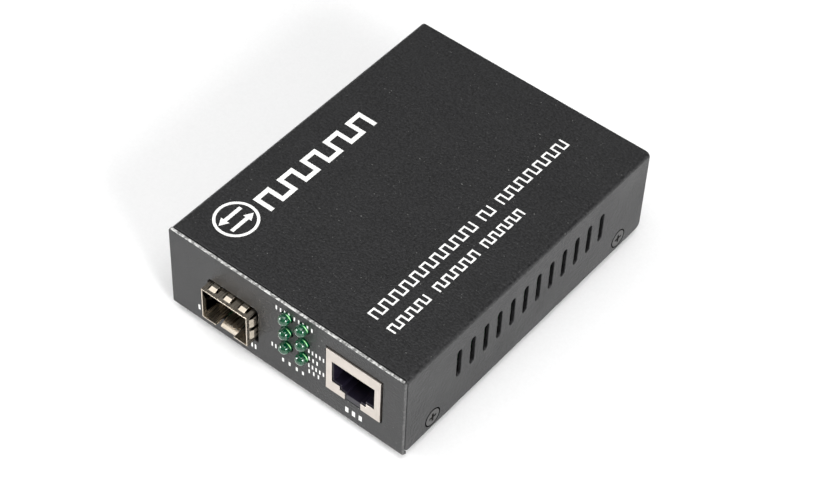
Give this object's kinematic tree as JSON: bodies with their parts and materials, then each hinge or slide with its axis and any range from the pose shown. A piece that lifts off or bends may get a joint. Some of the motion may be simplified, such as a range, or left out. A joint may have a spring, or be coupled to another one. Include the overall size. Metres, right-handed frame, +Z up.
{
  "type": "fibre media converter",
  "caption": "Small folded-steel network converter with a pluggable fibre port, a copper port, status lamps and a rear power inlet.",
  "frame": {"origin": "centre of the steel base's flat underside", "axes": "+Z up, the ports look along -Y, +X to the right of someone who faces the ports"},
  "size_m": [0.071, 0.0966, 0.0284],
  "materials": {
    "painted_steel": "satin black powder coat with a very fine texture",
    "black_screws": "black zinc plating",
    "board_laminate": "green solder mask over glass laminate",
    "plated_steel": "bright zinc or tin plating",
    "cage_nickel": "nickel plated copper alloy, slightly warm",
    "shield_nickel": "satin nickel plate",
    "gold_contacts": "gold plate",
    "black_moulding": "moulded black plastic",
    "green_lens": "clear green tinted resin",
    "chip_resin": "black moulding resin",
    "ferrite": "dark sintered ferrite",
    "capacitor_can": "bare drawn aluminium",
    "foot_rubber": "matt black rubber"
  },
  "bodies": {
    "root": {"base_chassis": "painted_steel", "board_screws": "plated_steel", "board_standoffs": "plated_steel", "circuit_board": "board_laminate", "converter_chip": "chip_resin", "cover_screws": "black_screws", "crystal_can": "plated_steel", "dc_jack_housing": "black_moulding", "dc_jack_pin": "plated_steel", "dc_jack_spring": "plated_steel", "foot_front_left": "foot_rubber", "foot_front_right": "foot_rubber", "foot_rear_left": "foot_rubber", "foot_rear_right": "foot_rubber", "input_capacitor": "capacitor_can", "led_holder_left": "black_moulding", "led_holder_right": "black_moulding", "led_leads": "plated_steel", "led_left_bottom": "green_lens", "led_left_middle": "green_lens", "led_left_top": "green_lens", "led_right_bottom": "green_lens", "led_right_middle": "green_lens", "led_right_top": "green_lens", "line_transformer": "chip_resin", "memory_chip": "chip_resin", "output_capacitor": "capacitor_can", "power_inductor": "ferrite", "rj45_contacts": "gold_contacts", "rj45_housing": "black_moulding", "rj45_shield": "shield_nickel", "sfp_cage": "cage_nickel", "sfp_cage_floor": "cage_nickel", "sfp_connector_contacts": "gold_contacts", "sfp_connector_housing": "black_moulding", "top_cover": "painted_steel", "voltage_regulator": "chip_resin"}
  },
  "joints": []
}
